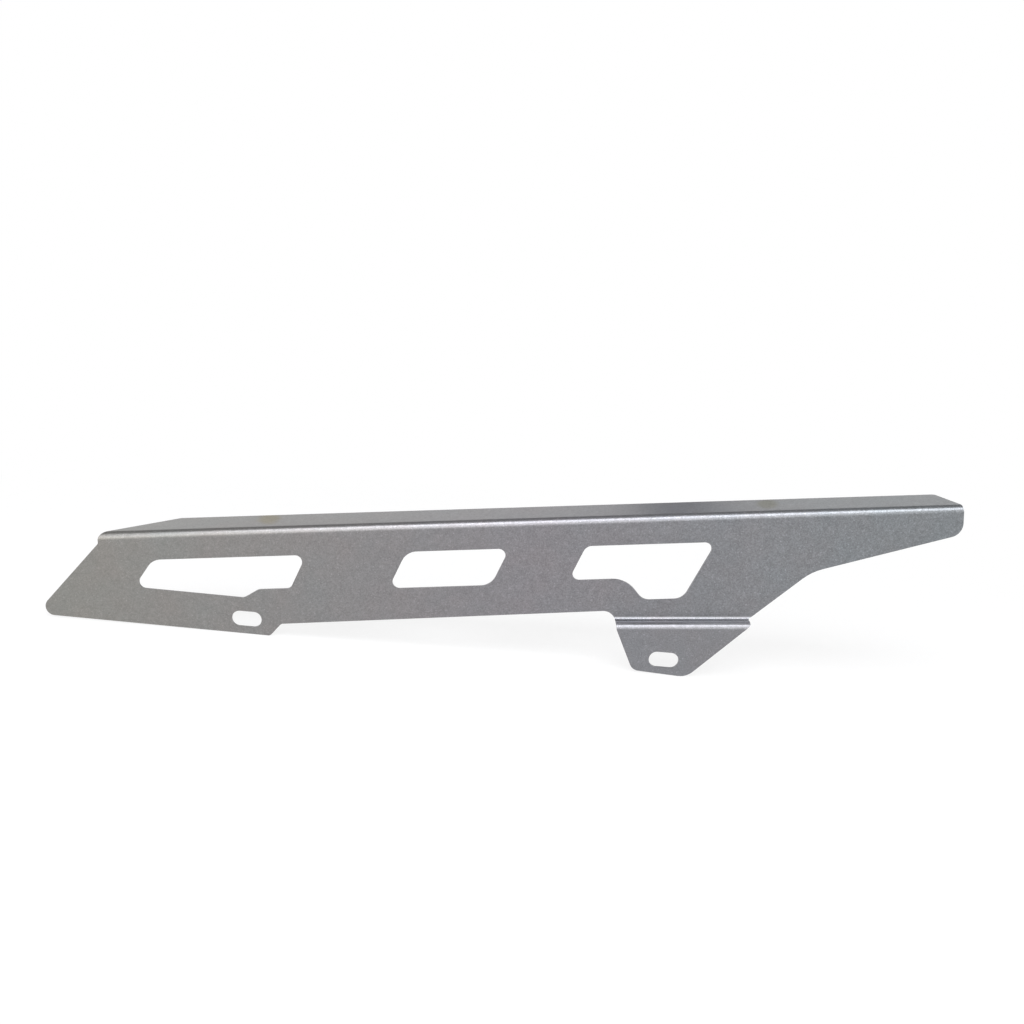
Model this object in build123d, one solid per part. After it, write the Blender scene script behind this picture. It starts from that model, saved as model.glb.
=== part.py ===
from build123d import *
import os
from math import cos, radians, sin, tan

# Motorcycle chain guard: one piece of sheet metal, cut to an outline and folded three times.
# All sizes are millimetres and all angles are degrees.
#
# Part frame: +X runs rearward along the line through the two mounting slots, +Y points inboard,
# over the chain, and +Z is up. The origin lies halfway between the slots, on the inboard face
# of the web.
#
# Sheet frame, in which the guard is drawn: the same, but with the top fold level. A place on the
# web is given as "along", measured rearward from the front end of the top fold, and "drop",
# measured down from the top face of the flange.

# Sheet and folds
sheet = 1.5
fold_length = 400.0
fold_inside_radius = 2.0
step_inside_radius = 1.6

# Mounting slots, which lie on one line
slot_spacing = 196.0
slot_length = 14.0
slot_width = 7.5
front_slot_along = 65.6
front_slot_drop = 43.5
fold_rise = 7.05  # how steeply the top fold climbs rearward above the line of the slots

# Flange over the chain
flange_width = 28.0  # outboard face of the web to the flange's free edge
flange_front_taper = 31.0  # how far the front corner is cut back along the guard
flange_rear_setback = 3.5
flange_corner_radius = 2.0

# Front end of the web
front_step = 5.0  # square end of the fold, above the slanted front edge
front_step_radius = 1.5
front_edge_angle = 45.0
nose_reach = 32.5  # how far the nose stands forward of the fold
nose_radius = 4.3

# Lower edge of the web, from the nose to the lug
low_edge_fall = 7.6
low_edge_end = 76.0
riser_angle = 45.0
riser_radius = 2.0
lower_edge_front_drop = 46.4
lower_edge_rear_drop = 45.0

# Tail of the web
tail_start_along = 330.3
tail_start_drop = 29.3
tail_start_radius = 25.0
tail_end_drop = 13.5
tail_end_radius = 6.5

# Stepped lug that carries the rear slot, placed from the centre of that slot
lug_step = 7.3  # how far the lug stands outboard of the web
step_front_drop = 47.65  # where the upper fold of the step starts
step_fall = 1.8  # how steeply the two folds of the step fall rearward
step_front_reach = 21.7
step_front_radius = 5.8
step_rear_reach = 43.1
lug_rear_setback = 2.5
lug_rear_depth = 1.0  # the lug's rear corner below the shelf of the step
lug_rear_radius = 0.8
foot_front_reach = 14.8
foot_front_depth = 4.4
foot_front_radius = 4.8
foot_rear_reach = 10.45
foot_rear_depth = 8.8
foot_rear_radius = 9.0

# All three windows
window_top_drop = 13.5
window_lean = 62.0  # slope of the slanted sides
window_tight_radius = 3.2  # sharp corners
window_wide_radius = 8.0  # blunt corners

# Front window, with a floor that falls towards a dip and steps up behind it
front_window_start = 24.2
front_window_length = 71.4
front_window_height = 16.0
front_window_tip_along = 14.2
front_window_tip_height = 13.0
front_window_dip_end = 65.0
front_window_floor_start = 72.1
front_window_dip_radius = 4.0

# Middle window, a parallelogram
middle_window_start = 142.0
middle_window_length = 48.0
middle_window_height = 17.6

# Rear window, with a deep pocket behind its floor
rear_window_start = 225.4
rear_window_length = 60.6
rear_window_height = 16.4
rear_window_front_radius = 4.6
rear_window_floor_end = 243.8
rear_window_shoulder_radius = 13.0
pocket_height = 27.0
pocket_start = 251.6
pocket_length = 18.6
pocket_front_radius = 6.5
pocket_rear_radius = 7.0

# Worked out from the sizes above
fold_outside_radius = fold_inside_radius + sheet
step_outside_radius = step_inside_radius + sheet
step_height = step_inside_radius + step_outside_radius
slot_line_along = slot_spacing * cos(radians(fold_rise))
slot_line_drop = slot_spacing * sin(radians(fold_rise))
rear_slot_along = front_slot_along + slot_line_along
rear_slot_drop = front_slot_drop + slot_line_drop
nose_drop = front_step + nose_reach * tan(radians(front_edge_angle))
low_edge_end_drop = nose_drop + (nose_reach + low_edge_end) * tan(radians(low_edge_fall))
riser_run = (low_edge_end_drop - lower_edge_front_drop) / tan(radians(riser_angle))
step_front = rear_slot_along - step_front_reach
step_rear = rear_slot_along + step_rear_reach
overrun = 5.0 * sheet  # how far a cutting shape reaches past what it cuts


def spot(along, drop):
    """A place on the web as a point of Plane.XZ in the sheet frame."""
    return (along, -drop)


def rounded_face(corners):
    """A flat face from (point, corner radius) pairs taken in order round its edge."""
    points = [point for point, radius in corners]
    radii = [radius for point, radius in corners]
    return make_face(FilletPolyline(*points, radius=radii, close=True))


def step_drop(along):
    """How low the upper fold of the lug's step lies at a place along the guard."""
    return step_front_drop + (along - step_front) * tan(radians(step_fall))


def blank():
    """Side view of the whole guard, lug included, as a face. It stands past the flange above."""
    lug_rear = step_rear - lug_rear_setback
    shelf_rear_drop = step_drop(step_rear) + step_inside_radius
    foot_front = rear_slot_along - foot_front_reach
    foot_rear = rear_slot_along + foot_rear_reach
    return rounded_face([
        (spot(0, -overrun), 0),
        (spot(0, front_step), front_step_radius),
        (spot(-nose_reach, nose_drop), nose_radius),
        (spot(low_edge_end, low_edge_end_drop), riser_radius),
        (spot(low_edge_end + riser_run, lower_edge_front_drop), riser_radius),
        (spot(step_front, lower_edge_rear_drop), step_front_radius),
        (spot(step_front, step_front_drop + step_height), 0),
        (spot(foot_front, rear_slot_drop + foot_front_depth), foot_front_radius),
        (spot(foot_rear, rear_slot_drop + foot_rear_depth), foot_rear_radius),
        (spot(lug_rear, shelf_rear_drop + lug_rear_depth), lug_rear_radius),
        (spot(lug_rear, shelf_rear_drop), 0),
        (spot(step_rear, step_drop(step_rear)), 0),
        (spot(tail_start_along, tail_start_drop), tail_start_radius),
        (spot(fold_length, tail_end_drop), tail_end_radius),
        (spot(fold_length, -overrun), 0),
    ])


def front_window():
    floor_drop = window_top_drop + front_window_height
    tip_drop = window_top_drop + front_window_tip_height
    dip_run = front_window_dip_end - front_window_tip_along
    dip_drop = tip_drop + dip_run * tan(radians(low_edge_fall))
    rear = front_window_start + front_window_length
    lean_run = front_window_height / tan(radians(window_lean))
    return rounded_face([
        (spot(front_window_start, window_top_drop), window_wide_radius),
        (spot(front_window_tip_along, tip_drop), window_tight_radius),
        (spot(front_window_dip_end, dip_drop), front_window_dip_radius),
        (spot(front_window_floor_start, floor_drop), front_window_dip_radius),
        (spot(rear - lean_run, floor_drop), window_tight_radius),
        (spot(rear, window_top_drop), window_tight_radius),
    ])


def middle_window():
    floor_drop = window_top_drop + middle_window_height
    rear = middle_window_start + middle_window_length
    lean_run = middle_window_height / tan(radians(window_lean))
    return rounded_face([
        (spot(middle_window_start, window_top_drop), window_wide_radius),
        (spot(middle_window_start - lean_run, floor_drop), window_tight_radius),
        (spot(rear - lean_run, floor_drop), window_wide_radius),
        (spot(rear, window_top_drop), window_tight_radius),
    ])


def rear_window():
    floor_drop = window_top_drop + rear_window_height
    pocket_drop = window_top_drop + pocket_height
    lean_run = rear_window_height / tan(radians(window_lean))
    return rounded_face([
        (spot(rear_window_start, window_top_drop), rear_window_front_radius),
        (spot(rear_window_start - lean_run, floor_drop), window_tight_radius),
        (spot(rear_window_floor_end, floor_drop), rear_window_shoulder_radius),
        (spot(pocket_start, pocket_drop), pocket_front_radius),
        (spot(pocket_start + pocket_length, pocket_drop), pocket_rear_radius),
        (spot(rear_window_start + rear_window_length, window_top_drop), window_tight_radius),
    ])


def lug_area():
    """Side view of everything below the upper fold of the lug's step, as a face."""
    front = step_front - 2 * step_front_radius
    rear = step_rear + overrun
    bottom = rear_slot_drop + foot_rear_depth + overrun
    return Polygon(
        spot(front, step_drop(front)),
        spot(rear, step_drop(rear)),
        spot(rear, bottom),
        spot(front, bottom),
        align=None,
    )


def web():
    """Flat part of the guard, between the top fold and the upper fold of the lug's step."""
    fold_area = Polygon(
        spot(-overrun, -2 * overrun),
        spot(fold_length + overrun, -2 * overrun),
        spot(fold_length + overrun, fold_outside_radius),
        spot(-overrun, fold_outside_radius),
        align=None,
    )
    windows = front_window() + middle_window() + rear_window()
    return extrude(Plane.XZ * (blank() - fold_area - lug_area() - windows), sheet)


def strip_section(outer, inner):
    """Section through a folded strip, from the runs of its two faces."""
    return make_face([outer, Line(outer @ 1, inner @ 0), inner, Line(inner @ 1, outer @ 0)])


def top_fold():
    """Top fold and flange, with the flange's two ends cut to their slants."""
    free_edge = flange_width - sheet
    below = -fold_outside_radius - sheet
    outer = FilletPolyline(
        (-sheet, below),
        (-sheet, 0),
        (free_edge, 0),
        radius=[fold_outside_radius],
    )
    inner = FilletPolyline(
        (free_edge, -sheet),
        (0, -sheet),
        (0, below),
        radius=[fold_inside_radius],
    )
    fold = extrude(Plane.YZ * strip_section(outer, inner), fold_length)
    plan = rounded_face([
        ((0, -sheet), 0),
        ((flange_front_taper, free_edge), flange_corner_radius),
        ((fold_length - flange_rear_setback, free_edge), flange_corner_radius),
        ((fold_length, -sheet), 0),
    ])
    kept = extrude(Plane.XY.offset(-fold_outside_radius) * plan, fold_outside_radius + overrun)
    return fold & kept


def lug():
    """Lug on two folds: outboard along a narrow shelf, then down past the rear slot."""
    bottom = -(rear_slot_drop + foot_rear_depth)
    outer = FilletPolyline(
        (-sheet, sheet),
        (-sheet, -step_inside_radius),
        (-sheet - lug_step, -step_inside_radius),
        (-sheet - lug_step, bottom),
        radius=[step_inside_radius, step_outside_radius],
    )
    inner = FilletPolyline(
        (-lug_step, bottom),
        (-lug_step, -step_outside_radius),
        (0, -step_outside_radius),
        (0, sheet),
        radius=[step_inside_radius, step_outside_radius],
    )
    fold_line = Plane(
        origin=(step_front, 0, -step_front_drop),
        x_dir=(0, 1, 0),
        z_dir=(cos(radians(step_fall)), 0, -sin(radians(step_fall))),
    )
    run = step_front_reach + step_rear_reach + 2 * overrun
    folded = extrude(fold_line.offset(-overrun) * strip_section(outer, inner), run)
    side_view = blank() & lug_area()
    return folded & extrude(Plane.XZ * side_view, lug_step + 2 * sheet, both=True)


def slot(middle):
    """Cutter for one mounting slot, in the part frame."""
    outline = Plane.XZ * Pos(middle, 0) * SlotOverall(slot_length, slot_width)
    return extrude(outline, lug_step + 2 * sheet, both=True)


def chain_guard():
    folded = web() + top_fold() + lug()
    middle_along = front_slot_along + slot_line_along / 2
    middle_drop = front_slot_drop + slot_line_drop / 2
    placed = Rot(0, -fold_rise, 0) * Pos(-middle_along, 0, middle_drop) * folded
    return placed - slot(-slot_spacing / 2) - slot(slot_spacing / 2)


os.makedirs("parts", exist_ok=True)
export_step(chain_guard(), "parts/chain_guard.step")
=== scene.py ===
import bpy
from math import cos, pi, radians, sin
from mathutils import Matrix, Vector


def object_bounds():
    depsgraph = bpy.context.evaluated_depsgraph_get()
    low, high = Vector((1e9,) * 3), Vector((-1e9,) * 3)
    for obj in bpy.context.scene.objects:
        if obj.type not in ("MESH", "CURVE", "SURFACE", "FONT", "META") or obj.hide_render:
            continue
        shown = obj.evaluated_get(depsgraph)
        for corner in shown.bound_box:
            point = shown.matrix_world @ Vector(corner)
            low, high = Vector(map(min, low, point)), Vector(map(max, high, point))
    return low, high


# A silver powder-coated motorcycle chain guard on a pale floor, in soft studio light.
# Metres, in the part's own frame: +X rearward, +Y inboard, +Z up.

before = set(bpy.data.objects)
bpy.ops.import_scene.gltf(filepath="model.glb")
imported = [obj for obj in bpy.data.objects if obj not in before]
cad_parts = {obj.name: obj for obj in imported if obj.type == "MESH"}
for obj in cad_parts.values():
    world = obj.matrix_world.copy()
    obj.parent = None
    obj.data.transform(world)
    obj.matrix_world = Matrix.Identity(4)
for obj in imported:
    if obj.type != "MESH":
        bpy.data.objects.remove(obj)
cad_low, cad_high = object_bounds()
scene = bpy.context.scene
scene.view_settings.view_transform = "Standard"

WHITE = (1.0, 1.0, 1.0)
FIRST_COLOUR, SECOND_COLOUR = 6, 7  # the colour sockets of a mix node, by place
MIXED_COLOUR = 2


def node(tree, kind, **values):
    """Adds a node. A key that names a socket sets its default value, and any other an attribute."""
    made = tree.nodes.new(kind)
    for key, value in values.items():
        if key.replace("_", " ") in made.inputs:
            made.inputs[key.replace("_", " ")].default_value = value
        else:
            setattr(made, key, value)
    return made


def material(name):
    """A new material with an empty tree."""
    made = bpy.data.materials.new(name)
    made.use_nodes = True
    made.node_tree.nodes.clear()
    return made, made.node_tree


def ranged(tree, value, low, high, to_low, to_high, kind="LINEAR"):
    """A value between low and high brought to between to_low and to_high."""
    made = node(tree, "ShaderNodeMapRange", interpolation_type=kind,
                From_Min=low, From_Max=high, To_Min=to_low, To_Max=to_high)
    tree.links.new(value, made.inputs["Value"])
    return made.outputs["Result"]


def noise(tree, vector, scale, low, high, detail=2.0, spread=0.2):
    """Noise between low and high, reached where the noise is spread from its middle."""
    made = node(tree, "ShaderNodeTexNoise", Scale=scale, Detail=detail, Roughness=0.6)
    tree.links.new(vector, made.inputs["Vector"])
    return ranged(tree, made.outputs["Fac"], 0.5 - spread, 0.5 + spread, low, high)


def maths(tree, operation, first, second):
    made = node(tree, "ShaderNodeMath", operation=operation)
    tree.links.new(first, made.inputs[0])
    tree.links.new(second, made.inputs[1])
    return made.outputs[0]


def length_of(tree, vector):
    """How long a vector is."""
    made = node(tree, "ShaderNodeVectorMath", operation="LENGTH")
    tree.links.new(vector, made.inputs[0])
    return made.outputs["Value"]


def mixed(tree, factor, low, high):
    """The colour low where the factor is 0, and high where it is 1."""
    made = node(tree, "ShaderNodeMix", data_type="RGBA")
    tree.links.new(factor, made.inputs[0])
    made.inputs[FIRST_COLOUR].default_value = (*low, 1)
    made.inputs[SECOND_COLOUR].default_value = (*high, 1)
    return made.outputs[MIXED_COLOUR]


def shaded(tree, colour, shade):
    """A colour multiplied by another colour or by a tone."""
    made = node(tree, "ShaderNodeMix", data_type="RGBA", blend_type="MULTIPLY", Factor=1.0)
    tree.links.new(colour, made.inputs[FIRST_COLOUR])
    tree.links.new(shade, made.inputs[SECOND_COLOUR])
    return made.outputs[MIXED_COLOUR]


# Silver coat: a grey ground with fine grain, scattered bright flakes and a slight orange peel.
# Its ground runs through three tones along the guard, which are painted light: warmer and lighter
# at the front, purplish in the middle and cooler at the rear, as the light tinted it.
FRONT_LIT_SILVER = (0.238, 0.234, 0.220)
MIDDLE_LIT_SILVER = (0.221, 0.213, 0.226)
REAR_LIT_SILVER = (0.203, 0.214, 0.224)
GUARD_FRONT, GUARD_MIDDLE, GUARD_REAR = -0.18, 0.03, 0.20
WARM_TINT = (1.015, 0.99, 0.985)
COOL_TINT = (0.985, 1.01, 1.015)
TINT_SCALE = 40.0
METALNESS = 0.9

# Speckle. A scale is in features per metre, and each pair is a range of tone.
GRAIN_SCALE, GRAIN = 1700.0, (0.84, 1.17)
MOTTLE_SCALE, MOTTLE = 330.0, (0.95, 1.05)
FLAKE_SCALE, FLAKE_TONE = 1900.0, 1.22
PLAIN_SHARE = 0.88  # share of the cells that hold no flake
SPECKLE_FRONT, SPECKLE_REAR = 0.75, 1.35  # how coarse it is at the guard's two ends

# Painted reflections, two faint yellowish patches on the flange's top face: centre, half the width
# and length, turn and tint
PAINTED_REFLECTIONS = (
    ((-0.0936, 0.0185, 0.0445), 0.0057, 0.013, -11.0, (0.95, 0.92, 0.82)),
    ((0.1424, 0.0165, 0.0735), 0.0052, 0.012, 14.5, (0.89, 0.88, 0.81)),
)
PATCH_OUTSIDE, PATCH_INSIDE = 1.2, 0.5  # where a painted reflection patch starts and is full, as shares of its size
RAGGED_SCALE, RAGGEDNESS = 260.0, 0.15

# Sheen
SHEEN_SCALE, ROUGHNESS = 900.0, (0.30, 0.40)
PEEL_SCALE, PEEL_STRENGTH, PEEL_DEPTH = 700.0, 0.35, 0.0001
SHELF_LOW, SHELF_HIGH = -0.0057, -0.0018  # across the guard: the lug's shelf and the fold above
SHELF_BLEND = 0.0002
SHELF_ROUGHNESS_SHARE = 0.4
SHELF_PEEL_STRENGTH = 0.04


def reflection_patch(tree, vector, centre, half_width, half_length, turn):
    """1 in the middle of a painted reflection patch, falling to 0 at its ragged edge."""
    turned = node(tree, "ShaderNodeVectorRotate", rotation_type="Z_AXIS",
                  Center=centre, Angle=radians(turn))
    tree.links.new(vector, turned.inputs["Vector"])
    shift = node(tree, "ShaderNodeVectorMath", operation="SUBTRACT")
    shift.inputs[1].default_value = centre
    tree.links.new(turned.outputs["Vector"], shift.inputs[0])
    scale = node(tree, "ShaderNodeVectorMath", operation="DIVIDE")
    scale.inputs[1].default_value = (half_width, half_length, half_width)
    tree.links.new(shift.outputs[0], scale.inputs[0])
    reach = length_of(tree, scale.outputs[0])
    ragged = maths(tree, "ADD", reach, noise(tree, vector, RAGGED_SCALE, -RAGGEDNESS, RAGGEDNESS))
    return ranged(tree, ragged, PATCH_OUTSIDE, PATCH_INSIDE, 0.0, 1.0, kind="SMOOTHSTEP")


def silver_coat():
    made, tree = material("silver_coat")
    link = tree.links.new
    out = node(tree, "ShaderNodeOutputMaterial")
    coat = node(tree, "ShaderNodeBsdfPrincipled", Metallic=METALNESS)
    link(coat.outputs["BSDF"], out.inputs["Surface"])
    place = node(tree, "ShaderNodeTexCoord").outputs["Object"]
    sides = node(tree, "ShaderNodeSeparateXYZ")
    link(place, sides.inputs[0])
    along, across = sides.outputs["X"], sides.outputs["Y"]

    # Ground colour, with the painted light tones along the guard
    silver = node(tree, "ShaderNodeValToRGB")
    stops = silver.color_ramp.elements
    stops[0].color = (*FRONT_LIT_SILVER, 1)
    stops[1].color = (*REAR_LIT_SILVER, 1)
    middle = stops.new((GUARD_MIDDLE - GUARD_FRONT) / (GUARD_REAR - GUARD_FRONT))
    middle.color = (*MIDDLE_LIT_SILVER, 1)
    link(ranged(tree, along, GUARD_FRONT, GUARD_REAR, 0.0, 1.0), silver.inputs[0])
    tint = mixed(tree, noise(tree, place, TINT_SCALE, 0.0, 1.0), WARM_TINT, COOL_TINT)
    colour = shaded(tree, silver.outputs["Color"], tint)

    # Speckle, which grows coarser rearward
    grain = noise(tree, place, GRAIN_SCALE, *GRAIN)
    mottle = noise(tree, place, MOTTLE_SCALE, *MOTTLE, detail=3.0)
    cells = node(tree, "ShaderNodeTexVoronoi", Scale=FLAKE_SCALE)
    link(place, cells.inputs["Vector"])
    chance = node(tree, "ShaderNodeSeparateColor")
    link(cells.outputs["Color"], chance.inputs[0])
    flakes = ranged(tree, chance.outputs[0], PLAIN_SHARE, 1.0, 1.0, FLAKE_TONE)
    speckle = maths(tree, "MULTIPLY", maths(tree, "MULTIPLY", grain, mottle), flakes)
    coarseness = ranged(tree, along, GUARD_FRONT, GUARD_REAR, SPECKLE_FRONT, SPECKLE_REAR)
    colour = shaded(tree, colour, maths(tree, "POWER", speckle, coarseness))

    # Two faint painted reflections, yellowish patches which also dull the sheen at a glance
    reflection_tints = [mixed(tree, reflection_patch(tree, place, *shape), WHITE, tone) for *shape, tone in PAINTED_REFLECTIONS]
    reflection_tint = shaded(tree, *reflection_tints)
    link(reflection_tint, coat.inputs["Specular Tint"])
    link(shaded(tree, colour, reflection_tint), coat.inputs["Base Color"])

    # Sheen, smoother on the lug's shelf and the fold above it, where the folding tool pressed
    inner = ranged(tree, across, SHELF_LOW - SHELF_BLEND, SHELF_LOW + SHELF_BLEND, 0.0, 1.0)
    outer = ranged(tree, across, SHELF_HIGH - SHELF_BLEND, SHELF_HIGH + SHELF_BLEND, 1.0, 0.0)
    pressed = maths(tree, "MULTIPLY", inner, outer)
    roughness = noise(tree, place, SHEEN_SCALE, *ROUGHNESS)
    share = ranged(tree, pressed, 0.0, 1.0, 1.0, SHELF_ROUGHNESS_SHARE)
    link(maths(tree, "MULTIPLY", roughness, share), coat.inputs["Roughness"])
    peel = node(tree, "ShaderNodeBump", Distance=PEEL_DEPTH)
    strength = ranged(tree, pressed, 0.0, 1.0, PEEL_STRENGTH, SHELF_PEEL_STRENGTH)
    link(strength, peel.inputs["Strength"])
    link(noise(tree, place, PEEL_SCALE, 0.0, 1.0, spread=0.5), peel.inputs["Height"])
    link(peel.outputs["Normal"], coat.inputs["Normal"])
    return made


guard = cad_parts["chain_guard"]
guard.data.materials.clear()
guard.data.materials.append(silver_coat())


# Pale floor and a round pale wall, open above
FLOOR_LEVEL = cad_low.z
STUDIO_RADIUS = 2.2
STUDIO_SIDES = 96
WALL_HEIGHT = 1.2
LIT_RADIUS = 0.45  # within it the floor takes the object's shadow
LIT_CORE = 0.55  # share of that radius over which the shadow is strongest
CORE_WHITENESS = 0.85  # how white the floor still is there, whatever shadow falls on it
PAPER = (0.88, 0.88, 0.88, 1)


def seen_ray(tree):
    """1 for camera, glossy and transmission rays, else 0."""
    ray = node(tree, "ShaderNodeLightPath")
    direct = maths(tree, "MAXIMUM", ray.outputs["Is Camera Ray"], ray.outputs["Is Glossy Ray"])
    return maths(tree, "MAXIMUM", direct, ray.outputs["Is Transmission Ray"])


def pale(name, shadow_radius):
    """Pale paper, white to the camera and to reflections beyond shadow_radius."""
    made, tree = material(name)
    link = tree.links.new
    out = node(tree, "ShaderNodeOutputMaterial")
    paper = node(tree, "ShaderNodeBsdfDiffuse", Color=PAPER)
    white = node(tree, "ShaderNodeEmission", Strength=1.0)
    choice = node(tree, "ShaderNodeMixShader")
    link(paper.outputs[0], choice.inputs[1])
    link(white.outputs[0], choice.inputs[2])
    link(choice.outputs[0], out.inputs["Surface"])
    seen = seen_ray(tree)
    if shadow_radius:
        reach = length_of(tree, node(tree, "ShaderNodeTexCoord").outputs["Object"])
        far = ranged(tree, reach, shadow_radius * LIT_CORE, shadow_radius, CORE_WHITENESS, 1.0,
                     kind="SMOOTHSTEP")
        seen = maths(tree, "MULTIPLY", seen, far)
    link(seen, choice.inputs[0])
    return made


def mesh_object(name, points, faces, look):
    mesh = bpy.data.meshes.new(name)
    mesh.from_pydata(points, [], faces)
    mesh.materials.append(look)
    made = bpy.data.objects.new(name, mesh)
    scene.collection.objects.link(made)
    return made


angles = [2 * pi * i / STUDIO_SIDES for i in range(STUDIO_SIDES)]
rim = [(STUDIO_RADIUS * cos(angle), STUDIO_RADIUS * sin(angle), FLOOR_LEVEL) for angle in angles]
mesh_object("floor", rim, [list(range(STUDIO_SIDES))], pale("floor_paper", LIT_RADIUS))
upper_rim = [(x, y, FLOOR_LEVEL + WALL_HEIGHT) for x, y, z in rim]
neighbours = [(i, (i + 1) % STUDIO_SIDES) for i in range(STUDIO_SIDES)]
panels = [[i, j, STUDIO_SIDES + j, STUDIO_SIDES + i] for i, j in neighbours]
mesh_object("wall", rim + upper_rim, panels, pale("wall_paper", 0))

# A grey card far behind the guard, which shows only as the darker stretch of its top face
CARD_TONE = (0.19, 0.195, 0.24, 1)
CARD_X, CARD_Y = 0.30, 1.6
CARD_WIDTH = 0.13
CARD_LOW, CARD_TOP = 0.1, 1.1

card_paper, card_tree = material("card_paper")
card_shader = node(card_tree, "ShaderNodeBsdfDiffuse", Color=CARD_TONE)
card_out = node(card_tree, "ShaderNodeOutputMaterial")
card_tree.links.new(card_shader.outputs[0], card_out.inputs["Surface"])
card_edges = CARD_X - CARD_WIDTH / 2, CARD_X + CARD_WIDTH / 2
card_points = [(x, CARD_Y, z) for z in (CARD_LOW, CARD_TOP) for x in card_edges]
card = mesh_object("card", card_points, [[0, 1, 3, 2]], card_paper)
card.visible_camera = False

# Light
WORLD_STRENGTH = 0.4
LAMP_DISTANCE = 1.8

world = bpy.data.worlds.new("studio")
scene.world = world
world.use_nodes = True
sky = world.node_tree.nodes["Background"]
sky.inputs["Color"].default_value = (*WHITE, 1)
sky.inputs["Strength"].default_value = WORLD_STRENGTH


def softbox(name, azimuth, elevation, width, height, radiance, colour=WHITE):
    """An area lamp that faces the origin. Azimuth 0 is in front of the web, growing rearward."""
    lamp = bpy.data.lights.new(name, "AREA")
    lamp.shape = "RECTANGLE"
    lamp.size = width
    lamp.size_y = height
    lamp.energy = radiance * pi * width * height
    lamp.color = colour
    a, e = radians(azimuth), radians(elevation)
    made = bpy.data.objects.new(name, lamp)
    made.location = Vector((sin(a) * cos(e), -cos(a) * cos(e), sin(e))) * LAMP_DISTANCE
    made.rotation_euler = (-made.location).to_track_quat("-Z", "Y").to_euler()
    scene.collection.objects.link(made)


softbox("key_softbox", 5, 60, 1.9, 0.9, 5.85, (0.955, 0.965, 1.0))
softbox("low_softbox", -8, 30, 1.9, 0.8, 2.5)
softbox("warm_softbox", -38, 8, 0.9, 0.5, 1.5, (1.0, 0.95, 0.85))
softbox("cool_softbox", 48, 8, 0.8, 0.5, 0.8, (0.86, 0.95, 1.0))

# Camera, at the photograph's viewing angle, which is taken with the top fold level
PHOTO_WIDTH = 1024
FOCAL_PIXELS = 1108
SENSOR_WIDTH = 36.0
PITCH = radians(12.0)
ROLL = radians(1.8)
FOLD_RISE = radians(7.05)
CAMERA_PLACE = (0.00816, -0.50000, 0.16753)

tilt = Matrix.Rotation(-FOLD_RISE, 3, "Y")
right = tilt @ Vector((1, 0, 0))
up = tilt @ Vector((0, sin(PITCH), cos(PITCH)))
ahead = tilt @ Vector((0, cos(PITCH), -sin(PITCH)))
rolled_right = right * cos(ROLL) - up * sin(ROLL)
rolled_up = right * sin(ROLL) + up * cos(ROLL)
camera_data = bpy.data.cameras.new("camera")
camera_data.sensor_width = SENSOR_WIDTH
camera_data.lens = SENSOR_WIDTH * FOCAL_PIXELS / PHOTO_WIDTH
camera = bpy.data.objects.new("camera", camera_data)
turn = Matrix((rolled_right, rolled_up, -ahead)).transposed()
camera.matrix_world = Matrix.Translation(CAMERA_PLACE) @ turn.to_4x4()
scene.collection.objects.link(camera)
scene.camera = camera
